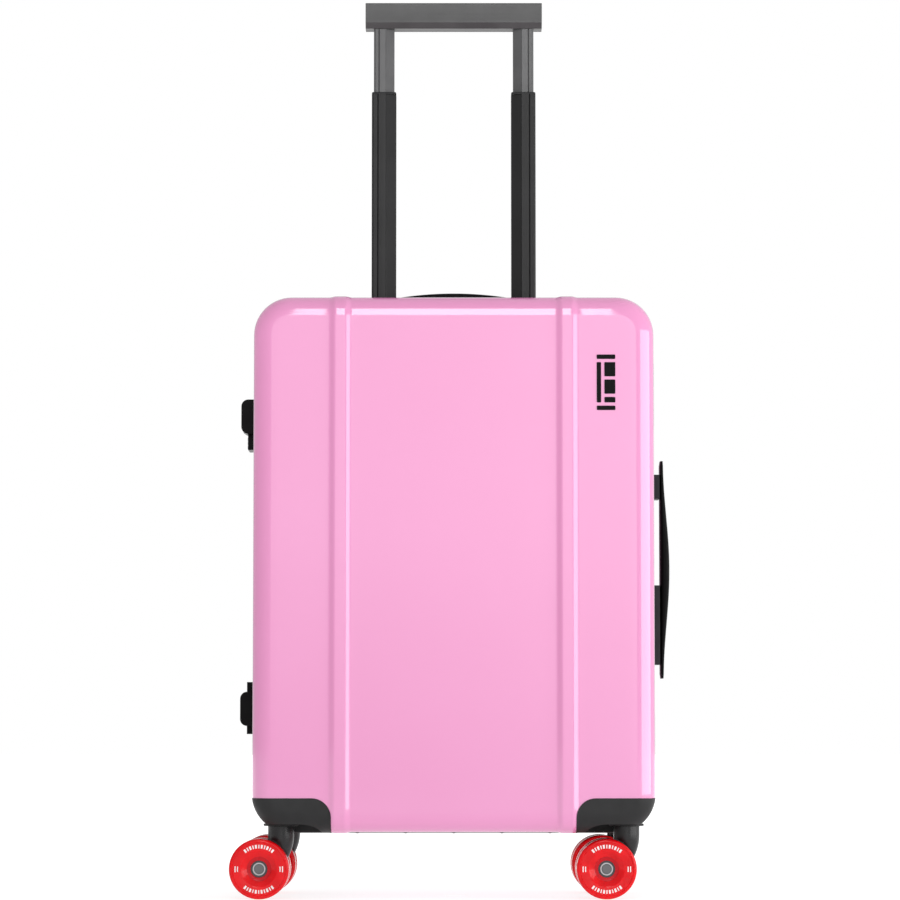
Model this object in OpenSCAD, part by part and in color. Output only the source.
// Hard shell cabin suitcase: two pressed shells in a hinged aluminium frame, standing on four
// twin-wheel swivel casters, with a two-stage pull handle, two carry handles and two latches.
// Millimetres. X to the right, Y towards the back, Z up. The origin is on the ground, under the
// middle of the case, and the two halves part in the plane y = 0.

/* [Case] */
// Width of the shells
case_w = 368; // [360:1:376]
// Height of the underside above the ground
case_bottom = 61; // [60:0.5:62]
// Height of the top of the shells above the ground
case_top = 551.6; // [545:0.1:560]
// Depth of each half, from the parting plane to its flat face
half_depth = 112; // [110:1:116]
// Radius of the four corners, seen from the front
corner_r = 35; // [34:0.5:36]
// Radius that rolls the flat face over into the sides
edge_r = 18; // [17:0.5:19]
// Thickness of the pressed shell
wall = 2.5; // [2:0.1:3]

/* [Ribs] */
// Distance of each rib from the middle
rib_x = 104; // [102:0.5:105]
// Width of a rib at its foot
rib_foot = 19; // [17:0.5:19]
// Width of a rib at its crest
rib_crest = 10.5; // [9:0.5:12]
// How far a rib stands out of the face
rib_proud = 2.5; // [2:0.1:3]

/* [Corner guards] */
// Distance from the middle to the inner edge of a guard
guard_x = 111.6; // [111:0.1:112]
// Height of the upper edge of a guard above the ground
guard_top = 92; // [90:0.5:94]
// Radius of the inner upper corner of a guard
guard_r = 17.5; // [14:0.5:18]

/* [Casters] */
// Distance of the swivel axes from the middle, to each side
swivel_x = 158.5; // [157:0.5:160]
// Distance of the swivel axes from the parting plane
swivel_y = 72; // [70:0.5:74]
// Distance of the axle behind the swivel axis
trail = 19; // [18:0.5:20]
// Diameter of a wheel
wheel_d = 55; // [53:0.5:55]
// Width of a wheel
wheel_w = 20; // [18:0.5:20]

/* [Pull handle] */
// Distance of each tube from the middle
tube_x = 67.5; // [66:0.5:69]
// Distance of the tubes behind the parting plane
tube_y = 80; // [79:0.5:80]
// Height of the top of the middle tubes as the case stands
mid_top = 769.5; // [760:0.5:775]
// Height of the underside of the grip as the case stands
grip_bottom = 833.5; // [830:0.5:836]
// Length of the grip bar
grip_l = 171; // [165:0.5:172]
// Height of the grip bar
grip_h = 24.5; // [24:0.5:26]

/* [Carry handles] */
// Height of the top of the upper carry handle's arch
arch_top = 569.5; // [568:0.5:571]
// Outermost reach of the side carry handle
side_reach = 204.8; // [203:0.1:205.5]

/* [Hidden] */

ROUND = 32;   // segments in a full turn of a hulled corner
SMOOTH = 48;  // segments in a full turn of a true cylinder

PINK = "#F3B2DB";
BLACK = "#1D1D1F";
GUARD_GREY = "#363636";
TUBE_GREY = "#5A5A5C";
STEEL = "#B9BBBD";
RED = "#D00A14";
LINING_GREY = "#4A4A50";

half_w = case_w / 2;
quarter = ROUND / 4;
gap = 0.3;  // between pieces that move past each other

frame_proud = 2.6;
frame_half = 11;
frame_web = 5;    // depth of the frame's web, from the parting plane to the shell's edge
frame_inner = 5.5;
frame_x = half_w + frame_proud;

deck_top = 72;      // inner face of the guard's solid deck
pocket_top = 68.3;  // roof of the pocket that the caster stands in
pocket_low = 57;    // the pocket's rounded inner end starts down here, below the guard
pocket_x = 140;     // where its flat roof begins
pocket_r = 21;      // how far the rounded end reaches inwards from there
plate_z = 66.3;
plate_r = 16;
leg_top = 66;
stem_r = 12;
kingpin_r = 4;
screw_r = 1.6;
screw_at = 8.5;

wheel_r = wheel_d / 2;
leg_t = 10.6;
wheel_y = 16;       // from the leg's middle to a wheel's middle
bearing_r = 7.7;
bearing_w = 5;
axle_r = 3;

hinge_x = 186.3;
knuckle_r = 2.8;
hinge_pin_r = 1.2;
hinge_l = 60;
hinge_z = [110, 440];
knuckle_l = 12;

outer_tube = [28, 24.4];
mid_tube = [23.6, 20];
inner_tube = [19.8, 16.2];
tube_wall = 1.4;
mid_l = 400;
inner_l = 380;
tray_floor = 521;
lip = 1.6;           // how far the tray's and the cups' rims stand above the case
tray_top = case_top + lip;
tray_half = [92, 15];
foot_top = 78;

latch_x = -194.2;   // outer face of the latch bases
lever_x = -200;     // outer face of the latch levers
latch_pin = [-197.1, 24];
latch_pin_r = 1.5;
latch_ear = 4.2;    // height of each of the two ears that hold the pin
lever_tip = -9;     // y of the lever's free end
lever_back = 17.7;  // y where the lever's plate ends and its arm goes on to the pin
lever_barrel_r = 2.55;
lever_ease = 6.5;   // radius of the lever's outer corners
lever_wall = 1.6;   // end wall of the lever, in front of the hook
keeper_x = -188;    // outer face of the keepers' plates
wall_reach = keeper_x - 0.4;
ear_inset = 3;      // of the ears from the ends of the lever
hook_reach = -189;  // x of the hook's tip
hook_t = 2.7;
base_back = 34;     // y of the back of a latch's base
// Each latch: its base from and to, then its lever from and to, as heights
upper_latch = [418, 465.7, 432.5, 464.8];
lower_latch = [150.5, 199.2, 158, 190];

// Points along an elliptical arc
function arc(cx, cy, rx, ry, from, to, n) =
  [for (k = [0:n]) let (a = from + (to - from) * k / n) [cx + rx * cos(a), cy + ry * sin(a)]];

// Outline of a case-shaped rectangle, drawn in by inset all round
function case_outline(inset) =
  let (x = half_w - corner_r, low = case_bottom + corner_r, high = case_top - corner_r,
       r = corner_r - inset)
  concat(arc(x, high, r, r, 0, 90, quarter), arc(-x, high, r, r, 90, 180, quarter),
         arc(-x, low, r, r, 180, 270, quarter), arc(x, low, r, r, 270, 360, quarter));

// Outline of a plain rectangle with rounded corners
function soft_outline(x0, x1, y0, y1, r, n) =
  concat(arc(x1 - r, y1 - r, r, r, 0, 90, n), arc(x0 + r, y1 - r, r, r, 90, 180, n),
         arc(x0 + r, y0 + r, r, r, 180, 270, n), arc(x1 - r, y0 + r, r, r, 270, 360, n));

// Draws an x-z outline and runs it along Y
module along_y(y0, y1, outline) {
  translate([0, y1, 0]) rotate([90, 0, 0]) linear_extrude(y1 - y0) polygon(outline);
}

// Draws a y-z outline and runs it along X
module along_x(x0, x1, outline) {
  translate([x0, 0, 0]) rotate([90, 0, 90]) linear_extrude(x1 - x0) polygon(outline);
}

// A box between two corners
module block(low, high) {
  translate(low) cube(high - low);
}

module rod_y(x, z, r, y0, y1) {
  translate([x, y0, z]) rotate([-90, 0, 0]) cylinder(r = r, h = y1 - y0, $fn = SMOOTH);
}

module rod_z(x, y, r, z0, z1) {
  translate([x, y, z0]) cylinder(r = r, h = z1 - z0, $fn = SMOOTH);
}

// ---- Shells and corner guards ----

// The rear half as a solid, drawn in by inset, from y = open back to its face
module half_solid(inset, open) {
  e = edge_r - inset;
  hull()
    for (sx = [-1, 1], z = [case_bottom + corner_r, case_top - corner_r])
      translate([sx * (half_w - corner_r), 0, z]) rotate([-90, 0, 0])
        rotate_extrude($fn = ROUND)
          polygon(concat([[0, open], [corner_r - inset, open]],
                         arc(corner_r - edge_r, half_depth - edge_r, e, e, 0, 90, 6),
                         [[0, half_depth - inset]]));
}

// Side outline of the shell, with its face and its top and bottom moved out
function side_outline(face, ends, open) =
  let (y = half_depth - edge_r)
  concat([[open, case_top + ends]],
         arc(y, case_top - edge_r, edge_r + face, edge_r + ends, 90, 0, 6),
         arc(y, case_bottom + edge_r, edge_r + face, edge_r + ends, 0, -90, 6),
         [[open, case_bottom - ends]]);

// One rib: a trapezium that runs up the face and over the top and bottom edges
module rib(sx, inset) {
  foot = rib_foot / 2 - inset * 0.8;
  crest = rib_crest / 2 - inset * 0.5;
  top_proud = rib_proud * 0.45;
  start = frame_half + 0.2;
  translate([sx * rib_x, 0, 0]) hull() {
    along_x(-foot, foot, side_outline(-inset, -inset, start));
    along_x(-crest, crest, side_outline(rib_proud - inset, top_proud - inset, start));
  }
}

// What a corner guard covers, seen from the front, grown by grow
module guard_zone(sx) {
  mirror([sx < 0 ? 1 : 0, 0, 0])
    along_y(frame_half + gap, half_depth + 12,
            concat([[guard_x, case_bottom - 10]],
                   arc(guard_x + guard_r, guard_top - guard_r, guard_r, guard_r, 180, 90, 6),
                   [[half_w + 10, guard_top], [half_w + 10, case_bottom - 10]]));
}

module shell() {
  difference() {
    union() {
      half_solid(0, frame_web);
      for (sx = [-1, 1]) rib(sx, 0);
    }
    half_solid(wall, frame_web - 1);
    for (sx = [-1, 1]) rib(sx, wall);
    for (sx = [-1, 1]) guard_zone(sx);
  }
}

module rear_shell() {
  color(PINK) difference() {
    shell();
    // The tray of the pull handle drops through the top
    block([-tray_half[0], tube_y - tray_half[1], case_top - 20],
          [tray_half[0], tube_y + tray_half[1], case_top + 5]);
    for (sx = [-1, 1]) block([sx * cup_x - cup_half, cup_y[0], case_top - 20],
                             [sx * cup_x + cup_half, cup_y[1], case_top + 5]);
    for (z = side_cups)
      block([half_w - 8, side_y[0], z[0]], [half_w + 5, side_y[1], z[1]]);
  }
}

module front_shell() {
  color(PINK) mirror([0, 1, 0]) shell();
}

// A matt corner moulding with a solid deck, and a pocket under it for the caster
module guard(sx) {
  mirror([sx < 0 ? 1 : 0, 0, 0]) color(GUARD_GREY) difference() {
    intersection() {
      half_solid(-0.5, frame_half + gap);
      guard_zone(1);
    }
    intersection() {
      half_solid(3, frame_half);
      block([guard_x - 5, 0, deck_top], [half_w + 10, half_depth + 10, guard_top + 10]);
    }
    along_y(swivel_y - 19, half_depth + 12,
            concat([[half_w + 10, pocket_low], [half_w + 10, pocket_top]],
                   arc(pocket_x, pocket_low, pocket_r, pocket_top - pocket_low, 90, 180, 8)));
    rod_z(swivel_x, swivel_y, kingpin_r + gap, pocket_low, deck_top + 5);
    for (dx = [-1, 1], dy = [-1, 1])
      rod_z(swivel_x + dx * screw_at, swivel_y + dy * screw_at, screw_r, case_bottom, deck_top + 5);
  }
}

module rear_left_guard() { guard(-1); }
module rear_right_guard() { guard(1); }
module front_left_guard() { mirror([0, 1, 0]) guard(-1); }
module front_right_guard() { mirror([0, 1, 0]) guard(1); }

// ---- Frame and seal ----

module ring(y0, y1, outside, inside) {
  difference() {
    along_y(y0, y1, case_outline(outside));
    along_y(y0 - 1, y1 + 1, case_outline(inside));
  }
}

// Channel section: an outer band, a web across the shell's edge and an inner lip
module frame_channel(start) {
  difference() {
    ring(start, frame_half, -frame_proud, frame_inner);
    ring(frame_web, frame_half + 1, 0, wall);
    // Room for the knuckles of the hinges
    for (z = hinge_z)
      block([hinge_x - knuckle_r - gap, -5, z - gap],
            [frame_x + 5, knuckle_r + gap, z + hinge_l + gap]);
  }
}

module rear_frame() {
  color(BLACK) frame_channel(0.2);
}

module front_frame() {
  color(BLACK) difference() {
    mirror([0, 1, 0]) frame_channel(0.8);
    ring(-2.5, 0, 1, 4);
  }
}

// Rubber cord in the front frame's groove
module frame_seal() {
  color(BLACK) difference() {
    ring(-2.5, -0.1, 1, 4);
    for (z = hinge_z)
      block([hinge_x - knuckle_r - gap, -5, z - gap], [frame_x, 5, z + hinge_l + gap]);
  }
}

// ---- Hinges, on the right-hand edge ----

module knuckles(z, odd, bore) {
  first = odd ? 1 : 0;
  for (k = [first : 2 : 4])
    difference() {
      union() {
        rod_z(hinge_x, 0, knuckle_r, z + k * knuckle_l + (odd ? gap : 0),
              z + (k + 1) * knuckle_l - (odd ? gap : 0));
        block([frame_x, 0, z + k * knuckle_l + (odd ? gap : 0)],
              [frame_x + 1.2, 4, z + (k + 1) * knuckle_l - (odd ? gap : 0)]);
      }
      rod_z(hinge_x, 0, bore, z - 1, z + hinge_l + 1);
    }
}

module hinge_leaves(odd, bore) {
  for (z = hinge_z) {
    knuckles(z, odd, bore);
    block([frame_x, knuckle_r + gap, z], [frame_x + 1.2, frame_half - 1, z + hinge_l]);
  }
}

module hinge_rear_leaves() {
  color(STEEL) hinge_leaves(false, hinge_pin_r);
}

module hinge_front_leaves() {
  color(STEEL) mirror([0, 1, 0]) hinge_leaves(true, hinge_pin_r + 0.05);
}

module hinge_pins() {
  color(STEEL) for (z = hinge_z) rod_z(hinge_x, 0, hinge_pin_r, z, z + hinge_l);
}

// ---- Lining, straps and divider ----

lining_x = 176;
lining_low = 78;
lining_high = 533;
lining_t = 1.2;

// An open cloth-covered tray, from y = open back to y = back
module lining(open, back) {
  difference() {
    along_y(open, back, soft_outline(-lining_x, lining_x, lining_low, lining_high, 24, 6));
    along_y(open - 1, back - lining_t,
            soft_outline(-lining_x + lining_t, lining_x - lining_t, lining_low + lining_t,
                         lining_high - lining_t, 24 - lining_t, 6));
  }
}

module rear_lining() {
  color(LINING_GREY) lining(frame_half + 0.5, tube_y - tray_half[1] - 0.5);
}

module front_lining() {
  color(LINING_GREY) mirror([0, 1, 0]) lining(frame_half + 0.5, half_depth - wall - 4);
}

// Zipped panel that closes the front half
module divider_panel() {
  color(LINING_GREY)
    along_y(-16, -14.4, soft_outline(-lining_x + lining_t, lining_x - lining_t,
                                     lining_low + lining_t, lining_high - lining_t, 22.8, 6));
}

// Two elastic straps that cross over the rear half and meet in a buckle
module packing_straps() {
  low = 130;
  high = 480;
  reach = lining_x - lining_t;
  middle = (low + high) / 2;
  color(BLACK) {
    for (s = [-1, 1])
      along_y(17, 18.4, [[-reach, middle - s * 175 - 12], [-reach, middle - s * 175 + 14],
                         [reach, middle + s * 175 + 12], [reach, middle + s * 175 - 14]]);
    along_y(15, 20, soft_outline(-26, 26, middle - 20, middle + 20, 6, 4));
  }
}

// ---- Casters ----

module swivel_plates(sy) {
  color(GUARD_GREY) for (sx = [-1, 1])
    difference() {
      rod_z(sx * swivel_x, sy * swivel_y, plate_r, plate_z, pocket_top);
      rod_z(sx * swivel_x, sy * swivel_y, kingpin_r + gap, plate_z - 1, pocket_top + 1);
      for (dx = [-1, 1], dy = [-1, 1])
        rod_z(sx * swivel_x + dx * screw_at, sy * swivel_y + dy * screw_at, screw_r,
              plate_z - 1, pocket_top + 1);
    }
}

module plate_screws(sy) {
  color(STEEL) for (sx = [-1, 1], dx = [-1, 1], dy = [-1, 1]) {
    x = sx * swivel_x + dx * screw_at;
    y = sy * swivel_y + dy * screw_at;
    rod_z(x, y, screw_r, plate_z, deck_top);
    rod_z(x, y, 3, deck_top, deck_top + 2);
  }
}

module rear_swivel_plates() { swivel_plates(1); }
module front_swivel_plates() { swivel_plates(-1); }
module rear_plate_screws() { plate_screws(1); }
module front_plate_screws() { plate_screws(-1); }

// A leg: a tapering stem with its kingpin, cut away round the wheels, and a web to the axle
module leg(sx, sy) {
  color(BLACK) translate([sx * swivel_x, sy * swivel_y, 0]) difference() {
    union() {
      difference() {
        rotate_extrude($fn = SMOOTH)
          polygon(concat([[0, 31], [4.5, 31]], arc(-30.5, 58, 42.5, 42.5, -36, 0, 8),
                         [[stem_r, leg_top], [0, leg_top]]));
        rod_y(-trail, wheel_r, wheel_r + 1.2, -stem_r - 5, -leg_t / 2);
        rod_y(-trail, wheel_r, wheel_r + 1.2, leg_t / 2, stem_r + 5);
      }
      along_y(-leg_t / 2, leg_t / 2,
              concat([[-10.5, 65], [8.5, 65], [8, 50], [5, 38], [-1.5, 27]],
                     arc(-trail, wheel_r, 8.5, 8.5, -60, -210, 8), [[-17, 45], [-12, 54]]));
      rod_z(0, 0, kingpin_r, leg_top - 1, deck_top + 3);
      rod_z(0, 0, 7, deck_top + gap, deck_top + 3);
    }
    rod_y(-trail, wheel_r, axle_r, -leg_t, leg_t);
  }
}

module axle(sx, sy) {
  end = wheel_y + bearing_w + 0.6;
  x = sx * swivel_x - trail;
  y = sy * swivel_y;
  color(STEEL) {
    rod_y(x, wheel_r, axle_r, y - end, y + end);
    for (s = [-1, 1]) rod_y(x, wheel_r, 4.4, y + s * (end + 1) - 1, y + s * (end + 1) + 1);
  }
}

// Four ball bearings, two in each wheel
module bearings(sx, sy) {
  x = sx * swivel_x - trail;
  color(STEEL) for (s = [-1, 1], side = [-1, 1]) {
    y = sy * swivel_y + s * wheel_y + side * (0.6 + bearing_w / 2);
    difference() {
      rod_y(x, wheel_r, bearing_r, y - bearing_w / 2, y + bearing_w / 2);
      rod_y(x, wheel_r, axle_r, y - bearing_w, y + bearing_w);
    }
  }
}

// Wheel section: a rounded tread, dished faces, and a bore stepped for two bearings
module wheel(sx, sy, s) {
  w = wheel_w / 2;
  hub = 5.5;
  color(RED) translate([sx * swivel_x - trail, sy * swivel_y + s * wheel_y, wheel_r])
    rotate([90, 0, 0]) rotate_extrude($fn = 96)
      polygon(concat([[bearing_r + 0.05, -hub], [11, -hub], [16.1, -w]],
                     arc(wheel_r - 2.5, -w + 2.5, 2.5, 2.5, -90, 0, 6),
                     arc(wheel_r - 2.5, w - 2.5, 2.5, 2.5, 0, 90, 6),
                     [[16.1, w], [11, hub], [bearing_r + 0.05, hub], [bearing_r + 0.05, 0.5],
                      [5, 0.5], [5, -0.5], [bearing_r + 0.05, -0.5]]));
}

module front_left_leg() { leg(-1, -1); }
module front_left_axle() { axle(-1, -1); }
module front_left_bearings() { bearings(-1, -1); }
module front_left_wheel_front() { wheel(-1, -1, -1); }
module front_left_wheel_back() { wheel(-1, -1, 1); }
module front_right_leg() { leg(1, -1); }
module front_right_axle() { axle(1, -1); }
module front_right_bearings() { bearings(1, -1); }
module front_right_wheel_front() { wheel(1, -1, -1); }
module front_right_wheel_back() { wheel(1, -1, 1); }
module rear_left_leg() { leg(-1, 1); }
module rear_left_axle() { axle(-1, 1); }
module rear_left_bearings() { bearings(-1, 1); }
module rear_left_wheel_front() { wheel(-1, 1, -1); }
module rear_left_wheel_back() { wheel(-1, 1, 1); }
module rear_right_leg() { leg(1, 1); }
module rear_right_axle() { axle(1, 1); }
module rear_right_bearings() { bearings(1, 1); }
module rear_right_wheel_front() { wheel(1, 1, -1); }
module rear_right_wheel_back() { wheel(1, 1, 1); }

// ---- Latches, on the left-hand edge ----

// A latch's base on the rear half, with two ears for the lever's pin
module latch_base(h) {
  difference() {
    union() {
      block([latch_x, frame_half + gap, h[0]], [-half_w, base_back, h[1]]);
      block([latch_x, 1, h[0]], [-frame_x, frame_half + 1, h[1]]);
      for (z = [h[2] + ear_inset, h[3] - ear_inset - latch_ear])
        block([lever_x + 0.6, latch_pin[1] - 5, z], [latch_x + 1, latch_pin[1] + 5, z + latch_ear]);
    }
    rod_z(latch_pin[0], latch_pin[1], latch_pin_r, h[0] - 1, h[1] + 1);
  }
}

module upper_latch_base() {
  h = upper_latch;
  color(BLACK) difference() {
    latch_base(h);
    block([latch_x - 1, dial_y - 4.6, dial_z - 1], [-frame_x - gap, dial_y + 4.6, dial_z + 11.6]);
  }
}

module lower_latch_base() {
  color(BLACK) difference() {
    latch_base(lower_latch);
    translate([latch_x - 1, dial_y, barrel_z]) rotate([0, 90, 0])
      cylinder(r = barrel_r + 0.05, h = 6.2, $fn = SMOOTH);
  }
}

// A lever: a plate with a hook at its free end and a barrel round the pin
module latch_lever(h) {
  ear = ear_inset + latch_ear + gap;
  inner = latch_x - gap;
  e = lever_ease;
  turn = acos((lever_x + e - inner) / e);
  difference() {
    union() {
      along_y(lever_tip, lever_back,
              concat(arc(lever_x + e, h[3] - e, e, e, 180 - turn, 180, 8),
                     arc(lever_x + e, h[2] + e, e, e, 180, 180 + turn, 8)));
      along_y(lever_tip - lever_wall, lever_tip + 0.2,
              concat(arc(lever_x + e, h[3] - e, e, e, 90, 180, 8),
                     arc(lever_x + e, h[2] + e, e, e, 180, 270, 8),
                     [[wall_reach, h[2]], [wall_reach, h[3]]]));
      block([lever_x, lever_back - 1, h[2] + ear], [inner, latch_pin[1], h[3] - ear]);
      rod_z(latch_pin[0], latch_pin[1], lever_barrel_r, h[2] + ear, h[3] - ear);
      block([inner - 0.5, lever_tip, h[2] + 8], [hook_reach, lever_tip + hook_t, h[3] - 8]);
    }
    rod_z(latch_pin[0], latch_pin[1], latch_pin_r + 0.05, h[0] - 1, h[1] + 1);
  }
}

module upper_latch_lever() {
  color(BLACK) latch_lever(upper_latch);
}

module lower_latch_lever() {
  color(BLACK) latch_lever(lower_latch);
}

module latch_pins() {
  color(STEEL) for (h = [upper_latch, lower_latch])
    rod_z(latch_pin[0], latch_pin[1], latch_pin_r, h[2] + ear_inset, h[3] - ear_inset);
}

module latch_keepers() {
  color(BLACK) for (h = [upper_latch, lower_latch]) {
    block([keeper_x, -10, h[2] + 6], [-frame_x, -1.5, h[3] - 6]);
    block([keeper_x - 5, -6, h[2] + 6], [keeper_x + 0.5, -1.5, h[3] - 6]);
  }
}

dial_y = 12;
dial_z = 419.6;
dial_r = 3.9;
barrel_z = 194.8;
barrel_r = 3;

// Three number dials on one shaft
module upper_lock_dials() {
  color(STEEL) {
    for (k = [0:2]) rod_z(latch_x + 3, dial_y, dial_r, dial_z + k * 3.8, dial_z + 3 + k * 3.8);
    rod_z(latch_x + 3, dial_y, 1.2, dial_z - 0.7, dial_z + 11.3);
  }
}

module lower_lock_barrel() {
  color(STEEL) difference() {
    translate([latch_x - 0.4, dial_y, barrel_z]) rotate([0, 90, 0])
      cylinder(r = barrel_r, h = 5.3, $fn = SMOOTH);
    block([latch_x - 2, dial_y - 0.4, barrel_z - 2], [latch_x + 2, dial_y + 0.4, barrel_z + 2]);
  }
}

// ---- Carry handles ----

cup_x = 82;
cup_half = 11;       // half the length of an upper cup
cup_y = [19, 45];
cup_low = 534;
side_y = [21, 45];
side_cups = [[373, 396], [216, 291]];
cup_lip = 1.6;
post = [9, 12];     // the sliding post of a handle, long way and across
post_head = 13;

// A cup along +X that holds the post of a handle: from depth to mouth, and from a to b
module cup(depth, mouth, a, b) {
  middle = (side_y[0] + side_y[1]) / 2;
  centre = a + (b - a) / 2;
  difference() {
    block([depth, side_y[0], a], [mouth, side_y[1], b]);
    block([depth + 1.6, middle - post[1] / 2 - gap, centre - post_head / 2 - gap],
          [mouth - cup_lip, middle + post[1] / 2 + gap, centre + post_head / 2 + gap]);
    block([mouth - cup_lip - 1, middle - post[1] / 2 - gap, centre - post[0] / 2 - gap],
          [mouth + 1, middle + post[1] / 2 + gap, centre + post[0] / 2 + gap]);
  }
}

module handle_post(depth, mouth, centre) {
  middle = (side_y[0] + side_y[1]) / 2;
  block([depth + 2, middle - post[1] / 2, centre - post_head / 2],
        [depth + 4, middle + post[1] / 2, centre + post_head / 2]);
  block([depth + 3, middle - post[1] / 2, centre - post[0] / 2],
        [mouth + 0.5, middle + post[1] / 2, centre + post[0] / 2]);
}

side_middle = 306;
side_half = 103;
side_inner = 195.5;  // inner face of the side handle
side_end = 199;      // its outer face at the two ends, below the arch
cup_depth = 176.3;   // bottom of the side cups, clear of the lining

module side_handle_mounts() {
  color(BLACK) for (z = side_cups) cup(cup_depth, side_inner - gap, z[0], z[1]);
}

module side_handle_grip() {
  rise = side_reach - side_end;
  steps = 24;
  color(BLACK) {
    translate([0, side_y[1] - 1, 0]) rotate([90, 0, 0])
      linear_extrude(side_y[1] - side_y[0] - 2) polygon(concat(
        [for (k = [0:steps]) let (t = -1 + 2 * k / steps)
          [side_end + rise * (0.5 + 0.5 * cos(180 * t)), side_middle + side_half * t]],
        [[side_end - 1.5, side_middle + side_half], [side_inner, side_middle + side_half - 8],
         [side_inner, side_middle - side_half + 8], [side_end - 1.5, side_middle - side_half]]));
    for (z = side_cups) handle_post(cup_depth, side_inner - gap, (z[0] + z[1]) / 2);
  }
}

// The upper cups and posts are the side ones, turned to stand upright
module upright(x) {
  translate([x, (cup_y[0] + cup_y[1] - side_y[0] - side_y[1]) / 2, 0]) rotate([0, -90, 0]) children();
}

module top_handle_mounts() {
  color(BLACK) for (x = [-cup_x, cup_x]) upright(x) cup(cup_low, tray_top, -cup_half, cup_half);
}

module top_handle_grip() {
  reach = 90;             // half the length of the grip
  radius = 334;           // of the top of its arch
  centre = arch_top - radius;
  half_angle = asin(reach / radius);
  under_radius = 330;     // of the hollow under its middle
  under_centre = arch_top - 8 - under_radius;
  under = case_top + 1.9; // the flats at its ends
  flat_from = 73;
  under_angle = acos((under + 0.5 - under_centre) / under_radius);
  color(BLACK) {
    translate([0, cup_y[1] - 1, 0]) rotate([90, 0, 0])
      linear_extrude(cup_y[1] - cup_y[0] - 2) polygon(concat(
        arc(0, centre, radius, radius, 90 - half_angle, 90 + half_angle, 24),
        [[-reach, under + 1.5], [-reach + 3, under], [-flat_from, under]],
        arc(0, under_centre, under_radius, under_radius, 90 + under_angle, 90 - under_angle, 20),
        [[flat_from, under], [reach - 3, under], [reach, under + 1.5]]));
    for (x = [-cup_x, cup_x]) upright(x) handle_post(cup_low, tray_top, 0);
  }
}

// ---- Pull handle ----

// Outline of the left-hand tube: ribbed outside, with a facet that slants away inside
function tube_outline(w, d, grooved) =
  let (x = w / 2, y = d / 2, g = -w * 0.25)
  concat([[-x + 1.5, -y]],
         grooved ? [[g - 0.5, -y], [g, -y + 0.9], [g + 0.5, -y]] : [],
         [[w * 0.08, -y], [w * 0.08 + 0.3, -y + 0.8], [x, -y + 4], [x, y - 1], [x - 1, y],
          [-x + 1, y], [-x, y - 1], [-x, -y + 1.5]]);

// A pair of tubes from z0 to z1
module tube_pair(size, z0, z1, thickness) {
  for (s = [0, 1])
    mirror([s, 0, 0]) translate([-tube_x, tube_y, z0]) difference() {
      linear_extrude(z1 - z0) polygon(tube_outline(size[0], size[1], true));
      translate([0, 0, -1]) linear_extrude(z1 - z0 + 2)
        polygon(tube_outline(size[0] - 2 * thickness, size[1] - 2 * thickness, false));
    }
}

module outer_tubes() {
  color(TUBE_GREY) tube_pair(outer_tube, foot_top, tray_floor, 1.7);
}

module mid_tubes() {
  color(TUBE_GREY) tube_pair(mid_tube, mid_top - mid_l, mid_top, tube_wall);
}

module inner_tubes() {
  color(TUBE_GREY) tube_pair(inner_tube, grip_bottom - inner_l, grip_bottom, 1.3);
}

grip_half_y = 13;
grip_top = grip_bottom + grip_h;
grip_edge = 1;       // bevel of the grip's upper edges
grip_under = [4, 5.4];  // bevel of its lower edges, across and up
button = [19, 7];    // half the length and half the width of the release button
yoke_z = grip_bottom + 12;
yoke_h = 5.5;
rod_r = 2.2;

module grip_bar() {
  y = grip_half_y;
  low = grip_bottom;
  color(TUBE_GREY) difference() {
    translate([0, tube_y, 0])
      along_x(-grip_l / 2, grip_l / 2,
              [[-y + grip_under[0], low], [y - grip_under[0], low], [y, low + grip_under[1]],
               [y, grip_top - grip_edge], [y - grip_edge, grip_top],
               [-y + grip_edge, grip_top], [-y, grip_top - grip_edge], [-y, low + grip_under[1]]]);
    block([-tube_x - 10.5, tube_y - y + 4.5, low + 4],
          [tube_x + 10.5, tube_y + y - 4.5, grip_top - 4.5]);
    block([-button[0] - gap, tube_y - button[1] - gap, grip_top - 6],
          [button[0] + gap, tube_y + button[1] + gap, grip_top + 1]);
    for (x = [-tube_x, tube_x]) rod_z(x, tube_y, rod_r + 0.8, low - 1, low + 6);
  }
}

// The button's cap, with its upper edges stepped in
module release_button() {
  color(BLACK) {
    block([-button[0], tube_y - button[1], yoke_z + yoke_h],
          [button[0], tube_y + button[1], grip_top - 1.2]);
    block([-button[0] + 1, tube_y - button[1] + 1, grip_top - 2],
          [button[0] - 1, tube_y + button[1] - 1, grip_top - 0.4]);
  }
}

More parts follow.
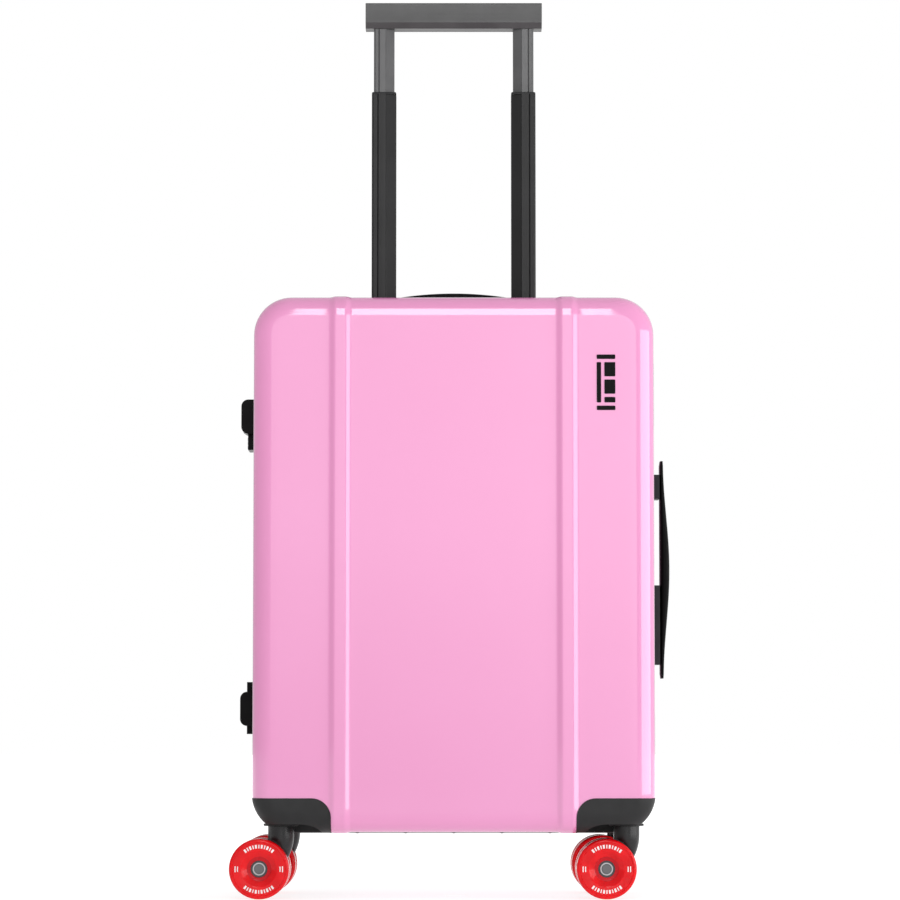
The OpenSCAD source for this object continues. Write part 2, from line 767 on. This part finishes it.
// A yoke under the button, and two rods down to the catches
module release_rods() {
  reach = tube_x + 6.5;
  color(STEEL) {
    block([-reach, tube_y - 5, yoke_z], [reach, tube_y + 5, yoke_z + yoke_h]);
    for (x = [-tube_x, tube_x])
      rod_z(x, tube_y, rod_r, grip_bottom - inner_l + 20, yoke_z + 1);
  }
}

// Tray in the top of the case that the grip drops into
module handle_tray() {
  x = tray_half[0];
  y = tray_half[1];
  color(BLACK) difference() {
    union() {
      block([-x, tube_y - y, tray_floor], [x, tube_y + y, tray_top]);
      translate([0, 0, case_top])
        linear_extrude(lip) polygon(soft_outline(-x - 2, x + 2, tube_y - y - 2.5,
                                                 tube_y + y + 2.5, 6, 6));
    }
    block([-x + 5, tube_y - y + 1.6, tray_floor + 2], [x - 5, tube_y + y - 1.6, tray_top + 1]);
    for (s = [0, 1])
      mirror([s, 0, 0]) translate([-tube_x, tube_y, tray_floor - 1]) linear_extrude(5)
        polygon(tube_outline(mid_tube[0] + 1, mid_tube[1] + 1, false));
  }
}

// Block that stands the fixed tubes on the floor of the rear half
module tube_foot() {
  x = tube_x + 20.5;
  color(BLACK) block([-x, tube_y - 13, case_bottom + wall], [x, tube_y + 13, foot_top]);
}

rear_shell();
front_shell();
rear_frame();
front_frame();
frame_seal();
rear_lining();
front_lining();
divider_panel();
packing_straps();
rear_left_guard();
rear_right_guard();
front_left_guard();
front_right_guard();
rear_swivel_plates();
front_swivel_plates();
rear_plate_screws();
front_plate_screws();
front_left_leg();
front_left_axle();
front_left_bearings();
front_left_wheel_front();
front_left_wheel_back();
front_right_leg();
front_right_axle();
front_right_bearings();
front_right_wheel_front();
front_right_wheel_back();
rear_left_leg();
rear_left_axle();
rear_left_bearings();
rear_left_wheel_front();
rear_left_wheel_back();
rear_right_leg();
rear_right_axle();
rear_right_bearings();
rear_right_wheel_front();
rear_right_wheel_back();
hinge_rear_leaves();
hinge_front_leaves();
hinge_pins();
upper_latch_base();
lower_latch_base();
upper_latch_lever();
lower_latch_lever();
latch_pins();
latch_keepers();
upper_lock_dials();
lower_lock_barrel();
top_handle_grip();
top_handle_mounts();
side_handle_grip();
side_handle_mounts();
outer_tubes();
mid_tubes();
inner_tubes();
grip_bar();
release_button();
release_rods();
handle_tray();
tube_foot();
